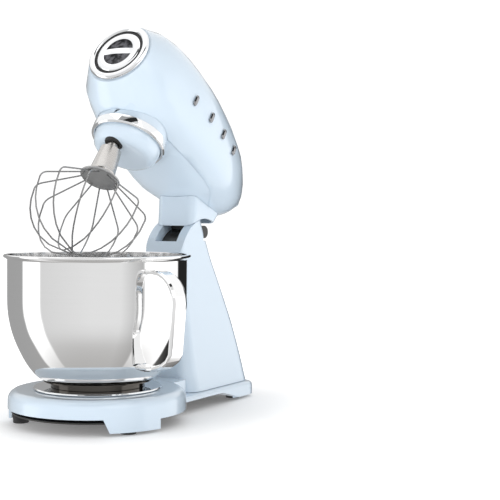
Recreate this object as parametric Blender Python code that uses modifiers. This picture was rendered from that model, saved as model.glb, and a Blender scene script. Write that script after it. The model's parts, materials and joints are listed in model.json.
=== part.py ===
"""Stand mixer with a tilting head: base, column, bowl, planetary whisk drive and head, with the head up.

Everything is laid out in the mixer frame: the bowl's axis is x = y = 0, the floor z = 0, the front -Y.
The head is laid out as it sits when closed, level over the bowl, and one empty on the hinge tilts it up.
"""

import math

import bmesh
import bpy
from mathutils import Matrix, Vector

MM = 0.001
GAP = 0.4 * MM  # between neighbours that touch
RUNNING = 0.6 * MM  # between pieces that turn or slide past each other

# Base
BASE_R = 110 * MM
DECK_Z = 42 * MM
REAR_PLATE_Z = 22 * MM
BASE_REAR_Y = 290 * MM
BASE_REAR_HALF = 72 * MM
BRIDGE_HALF = 56 * MM
BRIDGE_REAR_Y = 123 * MM
BASE_WALL = 4 * MM
SKIRT_Z = 4 * MM
ARCH_Z = 20 * MM
SIDE_ARCH_Z = 16 * MM
REAR_ARCH_Z = 13 * MM
FOOT_R = 10.5 * MM
FOOT_RING = 94 * MM  # radius on which the front feet stand
FOOT_AZIMUTHS = (math.radians(-54), math.radians(58))  # left and right front feet, counted from the front
RIGHT_LEG = (math.radians(43), math.radians(74))
LEFT_LEG = (math.radians(-62), math.radians(-88))
LEG_LEAN = math.radians(4)  # how far each leg's end slants over the arch's height
REAR_LEG = (math.radians(163), math.radians(171))
GLAND_X = 40 * MM
GLAND_Z = 14 * MM
GLAND_R = 4 * MM

# Bowl and its seat
PLATE_R = 79.6 * MM
PLATE_T = 2.4 * MM
COLLAR_R = 58 * MM
FLANGE_R = 67 * MM
BOWL_FLOOR_Z = 54 * MM
BOWL_RIM_Z = 208 * MM
BOWL_R = 110.5 * MM
RIM_R = 115.3 * MM
SHEET_T = 1.2 * MM
BOWL_OUTLINE = ((73, 56), (84, 69), (94, 86), (103, 107), (108, 126), (110.5, 145))
BAYONET_SPAN = math.radians(22)
HANDLE_AZIMUTH = math.radians(70)
HANDLE_REACH = 166 * MM
HANDLE_TOP_Z = 190 * MM
HANDLE_LOW_Z = 76 * MM
HANDLE_W = 20 * MM
HANDLE_T = 6 * MM

# Hinge
HINGE_Y = 209 * MM
HINGE_Z = 188.2 * MM
TILT = math.radians(33.3)
KNUCKLE_R = 63 * MM
DRUM_R = 50 * MM
PIN_R = 8 * MM
PIN_COVER = 3.4 * MM  # metal left over the pin's end in the right ear
HINGE_BOSS_R = 14 * MM
COLUMN_HALF = 30 * MM
EAR_T = 13 * MM
SADDLE_Z = 221 * MM
COLUMN_WALL = 4 * MM
# Column cross-sections: height, front y, rear y, half-width, corner radius
COLUMN_SECTIONS = (
    (22.4, 124, 288, 62, 24),
    (60, 128, 283, 53, 20),
    (110, 136, 271, 43, 17),
    (160, 142, 250, 35, 14),
    (205, 145, 227, 30, 11),
    (262, 146, 198, 30, 11),
)
BUTTON_HALF = 24 * MM
BUTTON_R = 8.7 * MM
BUTTON_TRAVEL = 3 * MM
BUTTON_SETBACK = 5 * MM
SHELF_Y = 206 * MM
SPRING_R = 4 * MM
SPRING_DEPTH = 12 * MM

# Neck cross-sections with the head up: height, front y, rear y
NECK_SECTIONS = ((226, 175, 226), (240, 175, 233), (249, 176, 243), (258, 177, 253), (290, 179, 285))
# Head, closed: y, half-width, top z, bottom z, squareness of the section
HEAD_STATIONS = (
    (-76, 45, 371.5, 281.5, 2.0),
    (-60, 56.9, 381.6, 264.5, 2.15),
    (-20, 67.6, 389.6, 254.5, 2.35),
    (40, 79.5, 384.5, 251.5, 2.35),
    (100, 80, 374, 249, 2.4),
    (130, 77, 367.5, 249.5, 2.4),
    (160, 70.9, 361, 255.5, 2.35),
    (200, 55.5, 351.5, 262.3, 2.35),
    (215, 48, 348, 267, 2.3),
    (230, 39, 341.5, 286, 2.2),
    (247, 27, 331, 308, 2.2),
)
HEAD_WALL = 3 * MM
SEAM_Z = 261 * MM
HUB_BOSS_R = 47.5 * MM
HUB_Z = 254 * MM
HUB_BOSS_TOP_Z = 271 * MM
RING_LOW_Z = 241.4 * MM
RING_R = 49 * MM
CARRIER_R = 44 * MM
CARRIER_LOW_Z = 223 * MM
TOOL_OFFSET = 25 * MM
PLANET_GEAR_R = 12 * MM
VENT_Y = 216.4 * MM
VENT_HALF = 25.2 * MM
VENT_RIM = 6.3 * MM
VENT_Z = (292.3 * MM, 320.4 * MM)
VENT_SLOTS = 5
VENT_PITCH = 4.6 * MM
FRONT_Z = 326.5 * MM
FRONT_RING_R = 42.6 * MM
FRONT_RING_Y = -76 * MM
COVER_R = 30.4 * MM
MARK_COUNT = 4
MARK_FIRST_Y = 8 * MM
MARK_PITCH = 36 * MM
MARK_Z = 314 * MM
MARK_WIDE = 7 * MM
MARK_TALL = 15 * MM
MOTOR_Y = (130 * MM, 176 * MM)
MOTOR_Z = 318 * MM
MOTOR_R = 34 * MM
ROTOR_R = 19 * MM
LEVER_Y = 96 * MM
LEVER_TRAVEL = 30 * MM
LEVER_SLOPE = math.radians(12)

# Whisk, closed
SHAFT_R = 7 * MM
SLEEVE_TOP_Z = 214 * MM
SLEEVE_LOW_Z = 176 * MM
WHISK_DISC_R = 25.5 * MM
WHISK_DISC_Z = 169 * MM
WHISK_R = 71 * MM
WHISK_WIDEST_Z = 131 * MM
WHISK_TIP_Z = 58.4 * MM
WIRE_R = 1 * MM
WIRE_COUNT = 6

ROUND = 36  # segments on the larger turned pieces
SMALL_ROUND = 24

parts = None
cutters = None


# --- materials ------------------------------------------------------------------------------------

LOOKS = {
    "enamel": ((0.57, 0.73, 0.85), 0.18, 0.0),
    "polished_steel": ((0.70, 0.70, 0.70), 0.08, 1.0),
    "brushed_steel": ((0.62, 0.61, 0.60), 0.32, 1.0),
    "chrome": ((0.85, 0.86, 0.88), 0.04, 1.0),
    "satin_grey": ((0.42, 0.42, 0.43), 0.4, 0.6),
    "dark_plastic": ((0.03, 0.03, 0.032), 0.45, 0.0),
    "rubber": ((0.015, 0.015, 0.016), 0.75, 0.0),
    "steel_wire": ((0.60, 0.60, 0.60), 0.2, 1.0),
    "cast_metal": ((0.35, 0.35, 0.36), 0.55, 0.8),
    "copper": ((0.55, 0.28, 0.14), 0.35, 0.9),
    "bronze": ((0.48, 0.33, 0.16), 0.4, 0.9),
    "board_green": ((0.02, 0.16, 0.07), 0.5, 0.0),
}


def material(name):
    """The Principled material of this name, made once from LOOKS."""
    found = bpy.data.materials.get(name)
    if found:
        return found
    made = bpy.data.materials.new(name)
    made.use_nodes = True
    colour, roughness, metallic = LOOKS[name]
    shader = made.node_tree.nodes["Principled BSDF"]
    shader.inputs["Base Color"].default_value = (*colour, 1)
    shader.inputs["Roughness"].default_value = roughness
    shader.inputs["Metallic"].default_value = metallic
    made.diffuse_color = (*colour, 1)
    return made


# --- making objects -------------------------------------------------------------------------------


def object_from(name, mesh_builder, look=None):
    """A new object from a bmesh: a part if it has a look, a cutter if it has none."""
    mesh = bpy.data.meshes.new(name)
    bmesh.ops.recalc_face_normals(mesh_builder, faces=mesh_builder.faces)
    mesh_builder.to_mesh(mesh)
    mesh_builder.free()
    made = bpy.data.objects.new(name, mesh)
    finish(made, look)
    return made


def finish(made, look):
    """Puts the object in its collection and gives it its material and smooth shading."""
    if look:
        parts.objects.link(made)
        made.data.materials.append(material(look))
        made.data.shade_smooth()
        made.data.set_sharp_from_angle(angle=math.radians(35))
    else:
        cutters.objects.link(made)
        made.hide_render = True
        made.display_type = "WIRE"


def box(name, low, high, look=None):
    """A box between two corners."""
    builder = bmesh.new()
    centre = (Vector(low) + Vector(high)) / 2
    size = Vector(high) - Vector(low)
    bmesh.ops.create_cube(builder, size=1, matrix=Matrix.Translation(centre) @ Matrix.Diagonal((*size, 1)))
    return object_from(name, builder, look)


def rod(name, start, end, radius, look=None, end_radius=None, segments=SMALL_ROUND):
    """A cylinder, or a cone if it has an end radius, from one point to another."""
    builder = bmesh.new()
    start = Vector(start)
    along = Vector(end) - start
    turn = Vector((0, 0, 1)).rotation_difference(along).to_matrix().to_4x4()
    bmesh.ops.create_cone(
        builder,
        cap_ends=True,
        segments=segments,
        radius1=radius,
        radius2=radius if end_radius is None else end_radius,
        depth=along.length,
        matrix=Matrix.Translation(start + along / 2) @ turn,
    )
    return object_from(name, builder, look)


def turned(name, profile, look=None, at=(0, 0, 0), along="Z", segments=ROUND):
    """A turned piece: a closed profile of (radius, height) points, counter-clockwise."""
    mesh = bpy.data.meshes.new(name)
    count = len(profile)
    edges = [(i, (i + 1) % count) for i in range(count)]
    on_axis = [i for i, (radius, _) in enumerate(profile) if radius == 0]
    if on_axis:
        edges = [edge for edge in edges if not (edge[0] in on_axis and edge[1] in on_axis)]
    mesh.from_pydata([(radius, 0, height) for radius, height in profile], edges, [])
    made = bpy.data.objects.new(name, mesh)
    screw = made.modifiers.new("turn", "SCREW")
    screw.steps = segments
    screw.render_steps = segments
    screw.use_merge_vertices = True
    screw.merge_threshold = 0.00001
    screw.use_normal_calculate = True
    parts.objects.link(made)
    bpy.context.view_layer.update()
    solid = bpy.data.meshes.new_from_object(made.evaluated_get(bpy.context.evaluated_depsgraph_get()))
    bpy.data.objects.remove(made)
    builder = bmesh.new()
    builder.from_mesh(solid)
    bpy.data.meshes.remove(solid)
    bmesh.ops.remove_doubles(builder, verts=builder.verts, dist=0.000005)
    turn = Matrix.Rotation(math.radians(90), 4, "X") if along == "Y" else Matrix()
    bmesh.ops.transform(builder, matrix=Matrix.Translation(at) @ turn, verts=builder.verts)
    return object_from(name, builder, look)


def loft(name, rings, look=None):
    """A closed solid through rings of points that all have the same count."""
    builder = bmesh.new()
    rows = [[builder.verts.new(point) for point in ring] for ring in rings]
    count = len(rows[0])
    for below, above in zip(rows, rows[1:]):
        for i in range(count):
            j = (i + 1) % count
            builder.faces.new((below[i], below[j], above[j], above[i]))
    builder.faces.new(list(reversed(rows[0])))
    builder.faces.new(rows[-1])
    return object_from(name, builder, look)


def prism(name, outline, low, high, look=None, along="Z"):
    """An outline of pairs pushed along an axis: (x, y) pairs along Z, or (y, z) pairs along X."""
    if along == "Z":
        rings = [[(x, y, level) for x, y in outline] for level in (low, high)]
    else:
        rings = [[(level, y, z) for y, z in outline] for level in (low, high)]
    return loft(name, rings, look)


def change(target, tool, operation):
    """One Boolean on the target, applied at once, after which the tool goes to the cutters."""
    step = target.modifiers.new(operation.lower(), "BOOLEAN")
    step.operation = operation
    step.object = tool
    step.solver = "EXACT"
    bpy.context.view_layer.update()
    result = bpy.data.meshes.new_from_object(target.evaluated_get(bpy.context.evaluated_depsgraph_get()))
    target.modifiers.clear()
    old = target.data
    target.data = result
    bpy.data.meshes.remove(old)
    bpy.data.objects.remove(tool)
    return target


def cut(target, *tools):
    """Takes the tools away from the target."""
    for tool in tools:
        change(target, tool, "DIFFERENCE")
    return target


def join(target, *tools):
    """Adds the tools to the target."""
    for tool in tools:
        change(target, tool, "UNION")
    return target


def keep_within(target, tool):
    """Keeps only what of the target lies in the tool."""
    return change(target, tool, "INTERSECT")


def swept(name, path, sections, look):
    """A solid along a path in a vertical plane: each section lists (sideways, outward) pairs."""
    rings = []
    for i, here in enumerate(path):
        before = path[max(i - 1, 0)]
        after = path[min(i + 1, len(path) - 1)]
        direction = Vector((after[0] - before[0], 0, after[1] - before[1])).normalized()
        outward = Vector((direction.z, 0, -direction.x))
        centre = Vector((here[0], 0, here[1]))
        rings.append([centre + Vector((0, side, 0)) + outward * out for side, out in sections[i]])
    return loft(name, rings, look)


def wire(name, points, radius, look, closed=False, sides=2):
    """A round wire through the points, made a mesh."""
    curve = bpy.data.curves.new(name, "CURVE")
    curve.dimensions = "3D"
    curve.bevel_depth = radius
    curve.bevel_resolution = sides
    curve.use_fill_caps = not closed
    spline = curve.splines.new("POLY")
    spline.points.add(len(points) - 1)
    for knot, point in zip(spline.points, points):
        knot.co = (*point, 1)
    spline.use_cyclic_u = closed
    made = bpy.data.objects.new(name, curve)
    parts.objects.link(made)
    bpy.context.view_layer.update()
    mesh = bpy.data.meshes.new_from_object(made.evaluated_get(bpy.context.evaluated_depsgraph_get()))
    bpy.data.objects.remove(made)
    builder = bmesh.new()
    builder.from_mesh(mesh)
    bpy.data.meshes.remove(mesh)
    bmesh.ops.remove_doubles(builder, verts=builder.verts, dist=0.000001)
    return object_from(name, builder, look)


# --- outlines -------------------------------------------------------------------------------------


def rounded(low_x, high_x, low_y, high_y, radius, steps=5):
    """A rectangle with round corners, counter-clockwise."""
    centres = (
        (high_x - radius, high_y - radius, 0),
        (low_x + radius, high_y - radius, 90),
        (low_x + radius, low_y + radius, 180),
        (high_x - radius, low_y + radius, 270),
    )
    outline = []
    for x, y, start in centres:
        for i in range(steps + 1):
            angle = math.radians(start + 90 * i / steps)
            outline.append((x + radius * math.cos(angle), y + radius * math.sin(angle)))
    return outline


def circle(radius, steps=ROUND, x=0.0, y=0.0):
    """Points round a circle."""
    angles = [2 * math.pi * i / steps for i in range(steps)]
    return [(x + radius * math.cos(angle), y + radius * math.sin(angle)) for angle in angles]


def arc_round_hinge(radius, first, last, steps):
    """(y, z) points on an arc round the hinge, between angles in degrees from the rear upwards."""
    angles = [math.radians(first + (last - first) * i / steps) for i in range(steps + 1)]
    return [(HINGE_Y + radius * math.cos(angle), HINGE_Z + radius * math.sin(angle)) for angle in angles]


def wedge(name, first, last, low, high, lean=0.0):
    """A fan-shaped cutter round the bowl's axis, between two azimuths, narrower at its top."""
    steps = 8
    reach = 0.4
    rings = []
    for level, spare in ((low, 0.0), (high, lean)):
        start, end = first + spare, last - spare
        angles = [start + (end - start) * i / steps for i in range(steps + 1)]
        ring = [(0.0, 0.0, level)]
        ring += [(reach * math.sin(angle), -reach * math.cos(angle), level) for angle in angles]
        rings.append(ring)
    return loft(name, rings)


def smooth_between(rows, at):
    """A smooth curve through rows of numbers, read where the first number is `at`."""
    last = len(rows) - 1
    i = 0
    while i < last - 1 and at > rows[i + 1][0]:
        i += 1
    start, end = rows[i], rows[i + 1]
    before, after = rows[max(i - 1, 0)], rows[min(i + 2, last)]
    span = end[0] - start[0]
    t = (at - start[0]) / span
    values = []
    for k in range(1, len(start)):
        slope_in = (end[k] - before[k]) / (end[0] - before[0])
        slope_out = (after[k] - start[k]) / (after[0] - start[0])
        values.append(
            (2 * t**3 - 3 * t**2 + 1) * start[k]
            + (t**3 - 2 * t**2 + t) * span * slope_in
            + (3 * t**2 - 2 * t**3) * end[k]
            + (t**3 - t**2) * span * slope_out
        )
    return values


def head_ring(y_mm, inset, steps=32):
    """The head's cross-section at this y, pulled in by the inset: a rounded, slightly square oval."""
    half, top, low, power = smooth_between(HEAD_STATIONS, y_mm)
    half = half * MM - inset
    height = (top - low) / 2 * MM - inset
    middle = (top + low) / 2 * MM
    ring = []
    for i in range(steps):
        angle = 2 * math.pi * i / steps
        c, s = math.cos(angle), math.sin(angle)
        x = half * math.copysign(abs(c) ** (2 / power), c)
        z = middle + height * math.copysign(abs(s) ** (2 / power), s)
        ring.append((x, y_mm * MM, z))
    return ring


def head_form(name, inset, look=None):
    """The whole head as one solid, or pulled in by the inset for a cavity."""
    first = HEAD_STATIONS[0][0] + inset / MM
    last = HEAD_STATIONS[-1][0] - inset / MM
    count = 14
    rings = [head_ring(first + (last - first) * i / count, inset) for i in range(count + 1)]
    crown = head_ring(last, inset)
    centre = Vector((0, crown[0][1], sum(point[2] for point in crown) / len(crown)))
    bulge = 13 * MM
    for turn in (35, 65):
        scale = math.cos(math.radians(turn))
        push = Vector((0, bulge * math.sin(math.radians(turn)), 0))
        rings.append([centre + (Vector(point) - centre) * scale + push for point in crown])
    return loft(name, rings, look)


# --- base -----------------------------------------------------------------------------------------


def gland_at(behind):
    """A point on the cord gland's axis, this far behind the base's rear."""
    return (GLAND_X, BASE_REAR_Y + behind, GLAND_Z)


def domed_disc(name, radius, low, high, fillet, look=None):
    """A disc whose top edge is rounded."""
    rings = [[(x, y, low) for x, y in circle(radius, 64)]]
    for i in range(5):
        angle = math.radians(90 * i / 4)
        level = high - fillet * (1 - math.sin(angle))
        rings.append([(x, y, level) for x, y in circle(radius - fillet * (1 - math.cos(angle)), 64)])
    return loft(name, rings, look)


def domed_slab(name, inset, low, high, fillet, look=None):
    """The base's rear plate with a rounded top edge."""
    rings = []
    levels = [(low, 0.0)]
    for i in range(4):
        angle = math.radians(90 * i / 3)
        levels.append((high - fillet * (1 - math.sin(angle)), fillet * (1 - math.cos(angle))))
    half = BASE_REAR_HALF - inset
    rear = BASE_REAR_Y - inset
    corner = 25 * MM - inset
    for level, pull in levels:
        outline = rounded(-half + pull, half - pull, 20 * MM, rear - pull, corner - pull * 0.7)
        rings.append([(x, y, level) for x, y in outline])
    return loft(name, rings, look)


def build_base():
    """The casting that everything stands on, hollow below, with arches between its legs."""
    base = domed_disc("base_casting", BASE_R, SKIRT_Z, DECK_Z, 11 * MM, "enamel")
    join(base, domed_slab("rear", 0.0, SKIRT_Z, REAR_PLATE_Z, 6 * MM))
    bridge = rounded(-BRIDGE_HALF, BRIDGE_HALF, 20 * MM, BRIDGE_REAR_Y, 8 * MM)
    join(base, prism("bridge", bridge, SKIRT_Z + 5 * MM, DECK_Z - 1 * MM))
    under = -1 * MM
    cut(
        base,
        domed_disc("hollow", BASE_R - BASE_WALL, under, DECK_Z - BASE_WALL, 7 * MM),
        domed_slab("rear_hollow", BASE_WALL, under, REAR_PLATE_Z - BASE_WALL, 3 * MM),
        wedge("front_arch", LEFT_LEG[0], RIGHT_LEG[0], under, ARCH_Z, LEG_LEAN),
        wedge("right_arch", RIGHT_LEG[1], REAR_LEG[0], under, SIDE_ARCH_Z, LEG_LEAN),
        wedge("left_arch", -REAR_LEG[0], LEFT_LEG[1], under, SIDE_ARCH_Z, LEG_LEAN),
        wedge("rear_arch", REAR_LEG[1], 2 * math.pi - REAR_LEG[1], under, REAR_ARCH_Z),
    )
    cut(base, rod("cable_way", (0, 200 * MM, 10 * MM), (0, 200 * MM, 30 * MM), 14 * MM))
    gland_hole = (gland_at(-20 * MM), gland_at(10 * MM))
    cut(base, rod("gland_hole", *gland_hole, GLAND_R + 2 * GAP))

    inner = BASE_WALL + RUNNING
    cover_low, cover_high = REAR_PLATE_Z - BASE_WALL - 4 * MM, REAR_PLATE_Z - BASE_WALL - 2 * MM
    cover = prism("base_cover", circle(BASE_R - inner, 64), cover_low, cover_high, "dark_plastic")
    rear_half = BASE_REAR_HALF - inner
    rear_low, rear_high = 60 * MM, BASE_REAR_Y - inner - 14 * MM
    rear_outline = rounded(-rear_half, rear_half, rear_low, rear_high, 18 * MM)
    join(cover, prism("rear_cover", rear_outline, cover_low, cover_high))

    for side, label in ((-1, "left"), (1, "right")):
        azimuth = FOOT_AZIMUTHS[0 if side < 0 else 1]
        x = FOOT_RING * math.sin(azimuth)
        y = -FOOT_RING * math.cos(azimuth)
        spots = (("front", x, y), ("rear", side * (BASE_REAR_HALF - 20 * MM), 250 * MM))
        for place, foot_x, foot_y in spots:
            bottom, top = (foot_x, foot_y, 0), (foot_x, foot_y, cover_low - GAP)
            rod(f"foot_{place}_{label}", bottom, top, FOOT_R - 1 * MM, "rubber", FOOT_R, 20)

    gland = rod("cord_gland", gland_at(-11 * MM), gland_at(6 * MM), GLAND_R, "rubber")
    cut(gland, rod("cord_way", gland_at(-20 * MM), gland_at(20 * MM), 2.6 * MM))


def bayonet(name, inner, outer, low, high, turn, look=None):
    """Three lugs round the bowl's axis, as separate fan-shaped solids."""
    lugs = []
    for k in range(3):
        middle = turn + k * 2 * math.pi / 3
        angles = [middle + BAYONET_SPAN * (i / 4 - 0.5) for i in range(5)]
        outline = [(outer * math.sin(a), -outer * math.cos(a)) for a in angles]
        outline += [(inner * math.sin(a), -inner * math.cos(a)) for a in reversed(angles)]
        lugs.append(prism(f"{name}_{k + 1}", outline, low, high, look))
    return lugs


def build_clamp_plate():
    """The bright plate that holds the bowl by a bayonet."""
    low = DECK_Z + GAP
    top = low + PLATE_T
    hook_z = top + 3.2 * MM
    profile = (
        (20 * MM, low),
        (PLATE_R - 0.8 * MM, low),
        (PLATE_R, low + 0.8 * MM),
        (PLATE_R - 1.2 * MM, top),
        (43 * MM, top),
        (43 * MM, hook_z + 1.6 * MM),
        (20 * MM, hook_z + 1.6 * MM),
    )
    plate = turned("bowl_clamp_plate", profile, "chrome")
    join(plate, *bayonet("hook", 41 * MM, 49 * MM, hook_z, hook_z + 1.6 * MM, 0.0))
    return hook_z


def build_bowl(hook_z):
    """The bowl, its foot ring with three lugs, and its handle."""
    outer = [(radius * MM, height * MM) for radius, height in BOWL_OUTLINE]
    outer.insert(0, (50 * MM, BOWL_FLOOR_Z))
    rim_low = BOWL_RIM_Z - SHEET_T
    outer += [(BOWL_R, rim_low), (RIM_R, rim_low), (RIM_R, BOWL_RIM_Z)]
    inner = [(BOWL_R - SHEET_T, BOWL_RIM_Z)]
    inner += [((radius - 1.2) * MM, (height + 0.5) * MM) for radius, height in reversed(BOWL_OUTLINE)]
    inner.append((50 * MM, BOWL_FLOOR_Z + SHEET_T))
    profile = [(0, BOWL_FLOOR_Z)] + outer + inner + [(0, BOWL_FLOOR_Z + SHEET_T)]
    turned("bowl", profile, "polished_steel")

    foot_low = DECK_Z + GAP + PLATE_T + GAP
    flange_z = BOWL_FLOOR_Z - GAP
    profile = (
        (COLLAR_R - 4 * MM, foot_low),
        (COLLAR_R, foot_low),
        (COLLAR_R, flange_z - 1.6 * MM),
        (FLANGE_R, flange_z - 1.6 * MM),
        (FLANGE_R, flange_z),
        (COLLAR_R - 4 * MM, flange_z),
    )
    foot = turned("bowl_foot", profile, "polished_steel")
    lug_top = hook_z - GAP
    join(foot, *bayonet("lug", 45 * MM, COLLAR_R - 2 * MM, foot_low + 0.2 * MM, lug_top, 0.0))

    wall = BOWL_R + GAP
    path = [(wall, HANDLE_TOP_Z), (wall + 7 * MM, HANDLE_TOP_Z + 0.5 * MM)]
    top_bend, low_bend = HANDLE_TOP_Z - 34 * MM, HANDLE_LOW_Z + 26 * MM
    reach = HANDLE_REACH - HANDLE_T / 2
    for angle in range(0, 91, 15):
        turn = math.radians(angle)
        centre_r = wall + 14 * MM
        x = centre_r + (reach - centre_r) * math.sin(turn)
        z = top_bend + (HANDLE_TOP_Z - top_bend) * math.cos(turn)
        path.append((x, z))
    foot_r = 91 * MM + GAP
    for angle in range(10, 91, 20):
        turn = math.radians(angle)
        x = foot_r + 12 * MM + (reach - 6 * MM - foot_r - 12 * MM) * math.cos(turn)
        z = low_bend - (low_bend - HANDLE_LOW_Z) * math.sin(turn)
        path.append((x, z))
    path.append((foot_r, HANDLE_LOW_Z + 1 * MM))
    half, thick = HANDLE_W / 2, HANDLE_T / 2
    section = [(-half, -thick * 0.5), (-half * 0.7, -thick), (half * 0.7, -thick), (half, -thick * 0.5)]
    section += [(half, thick * 0.5), (half * 0.7, thick), (-half * 0.7, thick), (-half, thick * 0.5)]
    handle = swept("bowl_handle", path, [section] * len(path), "polished_steel")
    handle.data.transform(Matrix.Rotation(HANDLE_AZIMUTH - math.pi / 2, 4, "Z"))


# --- column and hinge -----------------------------------------------------------------------------


def column_form(name, inset, low, high, look=None):
    """The column's outside, or its cavity when pulled in by the inset."""
    rings = []
    count = 8
    for i in range(count + 1):
        level = low + (high - low) * i / count
        front, rear, half, corner = smooth_between(COLUMN_SECTIONS, level)
        pull = inset / MM
        outline = rounded(-half + pull, half - pull, front + pull, rear - pull, corner - pull * 0.5)
        rings.append([(x * MM, y * MM, level * MM) for x, y in outline])
    return loft(name, rings, look)


def knuckle(name, radius, half, look=None, segments=64):
    """A cylinder round the hinge's axis."""
    start, end = (-half, HINGE_Y, HINGE_Z), (half, HINGE_Y, HINGE_Z)
    return rod(name, start, end, radius, look, segments=segments)


def build_column():
    """The column, whose top is two ears, with the hinge pin and the release button."""
    column = column_form("column_casting", 0.0, COLUMN_SECTIONS[0][0], 250, "enamel")
    top = box("top", (-0.1, 0.1, HINGE_Z), (0.1, 0.35, 0.3))
    keep = knuckle("crown", KNUCKLE_R, 0.12)
    cut(top, keep)
    cut(column, top)
    cut(column, column_form("cable_way", COLUMN_WALL * 1.2, 15, 128))
    slot = COLUMN_HALF - EAR_T
    drum_room = knuckle("drum_room", DRUM_R + RUNNING, slot)
    sweep_low = HINGE_Z - DRUM_R * math.sin(TILT) - 4 * MM
    keep_within(drum_room, box("sweep", (-0.1, 0.1, sweep_low), (0.1, HINGE_Y, 0.3)))
    low, high = (-slot, HINGE_Y - 70 * MM, SADDLE_Z), (slot, HINGE_Y + 70 * MM, HINGE_Z + 70 * MM)
    cut(column, drum_room, box("slot", low, high))
    cut(column, knuckle("boss_room", HINGE_BOSS_R + RUNNING, slot, segments=32))
    blind_end = COLUMN_HALF - PIN_COVER
    bore = ((-0.1, HINGE_Y, HINGE_Z), (blind_end, HINGE_Y, HINGE_Z))
    cut(column, rod("pin_bore", *bore, PIN_R + GAP, segments=32))
    cut(column, box("button_room", (-0.1, SHELF_Y, SADDLE_Z), (0.1, 0.3, 0.3)))
    spring_y = SHELF_Y + BUTTON_SETBACK + BUTTON_R
    spring_low = SADDLE_Z - SPRING_DEPTH
    room_ends = ((0, spring_y, spring_low), (0, spring_y, 0.3))
    spring_room = rod("spring_room", *room_ends, SPRING_R + GAP, segments=20)
    cut(column, spring_room)

    start, end = (-COLUMN_HALF + 0.5 * MM, HINGE_Y, HINGE_Z), (blind_end - GAP, HINGE_Y, HINGE_Z)
    rod("hinge_pin", start, end, PIN_R, "brushed_steel", segments=32)


def build_button():
    """The release button behind the hinge, pressed down against a spring."""
    front_y = SHELF_Y + BUTTON_SETBACK
    centre_y = front_y + BUTTON_R
    low = SADDLE_Z + GAP + BUTTON_TRAVEL
    centre_z = low + BUTTON_R
    outline = [(front_y, low)]
    for i in range(9):
        angle = math.radians(-90 + 180 * i / 8)
        outline.append((centre_y + BUTTON_R * math.cos(angle), centre_z + BUTTON_R * math.sin(angle)))
    outline.append((front_y, centre_z + BUTTON_R))
    prism("release_button", outline, -BUTTON_HALF, BUTTON_HALF, "dark_plastic", along="X")
    spring_low, spring_high = SADDLE_Z - SPRING_DEPTH + GAP, low - GAP
    profile = (
        (SPRING_R - 1.2 * MM, spring_low),
        (SPRING_R, spring_low),
        (SPRING_R, spring_high),
        (SPRING_R - 1.2 * MM, spring_high),
    )
    turned("button_spring", profile, "brushed_steel", at=(0, centre_y, 0), segments=16)


# --- head -----------------------------------------------------------------------------------------


def build_head_shells():
    """The painted casing: an upper shell, an underside cover with the hub boss, and a rear vent panel."""
    upper = head_form("head_upper_shell", 0.0, "enamel")
    cut(upper, head_form("cavity", HEAD_WALL))
    lower = head_form("head_underside_cover", 0.0, "enamel")
    cut(lower, head_form("cavity", HEAD_WALL))

    vent_low, vent_high = (-VENT_HALF, VENT_Y, VENT_Z[0]), (VENT_HALF, 0.3, VENT_Z[1])
    vents = head_form("rear_vent_grille", 0.0, "enamel")
    keep_within(vents, box("window", vent_low, vent_high))
    cut(vents, head_form("cavity", HEAD_WALL))
    slot_half = VENT_HALF - VENT_RIM
    slot_start = VENT_Y + 4 * MM
    for k in range(VENT_SLOTS):
        level = VENT_Z[0] + (k + 1) * VENT_PITCH
        cut(vents, box("slot", (-slot_half, slot_start, level), (slot_half, 0.3, level + 1.6 * MM)))
    room = Vector((GAP, GAP, GAP))
    cut(upper, box("window", Vector(vent_low) - room, Vector(vent_high) + room))

    cut(upper, box("below", (-0.2, -0.2, 0.1), (0.2, 0.205, SEAM_Z)))
    keep_within(lower, box("below", (-0.2, -0.2, 0.1), (0.2, 0.205, SEAM_Z - GAP)))
    seat = ((0, 0, 0.2), (0, 0, HUB_Z))
    cut(upper, rod("ring_seat", *seat, RING_R + GAP, segments=ROUND))
    cut(lower, rod("ring_seat", *seat, RING_R + GAP, segments=ROUND))
    boss = ((0, 0, HUB_Z), (0, 0, HUB_BOSS_TOP_Z))
    join(lower, rod("boss", *boss, HUB_BOSS_R, segments=ROUND))
    cut(lower, rod("hub_bore", (0, 0, 0.2), (0, 0, 0.3), CARRIER_R + RUNNING, segments=ROUND))
    boss_room = ((0, 0, 0.2), (0, 0, HUB_BOSS_TOP_Z + GAP))
    cut(upper, rod("boss_room", *boss_room, HUB_BOSS_R + GAP, segments=ROUND))
    front_bore_y = (FRONT_RING_Y - 10 * MM, FRONT_RING_Y + 12 * MM)
    start, end = (0, front_bore_y[0], FRONT_Z), (0, front_bore_y[1], FRONT_Z)
    cut(upper, rod("front_bore", start, end, COVER_R + 1.5 * MM, segments=ROUND))
    slot_low = Vector((-3 * MM, LEVER_Y - 8 * MM, 0.35))
    slot_high = Vector((3 * MM, LEVER_Y + LEVER_TRAVEL + 8 * MM, 0.4))
    cut(upper, box("lever_slot", slot_low, slot_high))


def ring_on_front(name, inner, outer, rear_y, front_y, edge, look):
    """A turned ring round the front hub's axis, with its front edge rounded."""
    back, front = -rear_y, -front_y
    profile = (
        (inner, back),
        (outer, back),
        (outer, front - edge),
        (outer - edge, front),
        (inner + edge, front),
        (inner, front - edge),
    )
    return turned(name, profile, look, at=(0, 0, FRONT_Z), along="Y")


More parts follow.
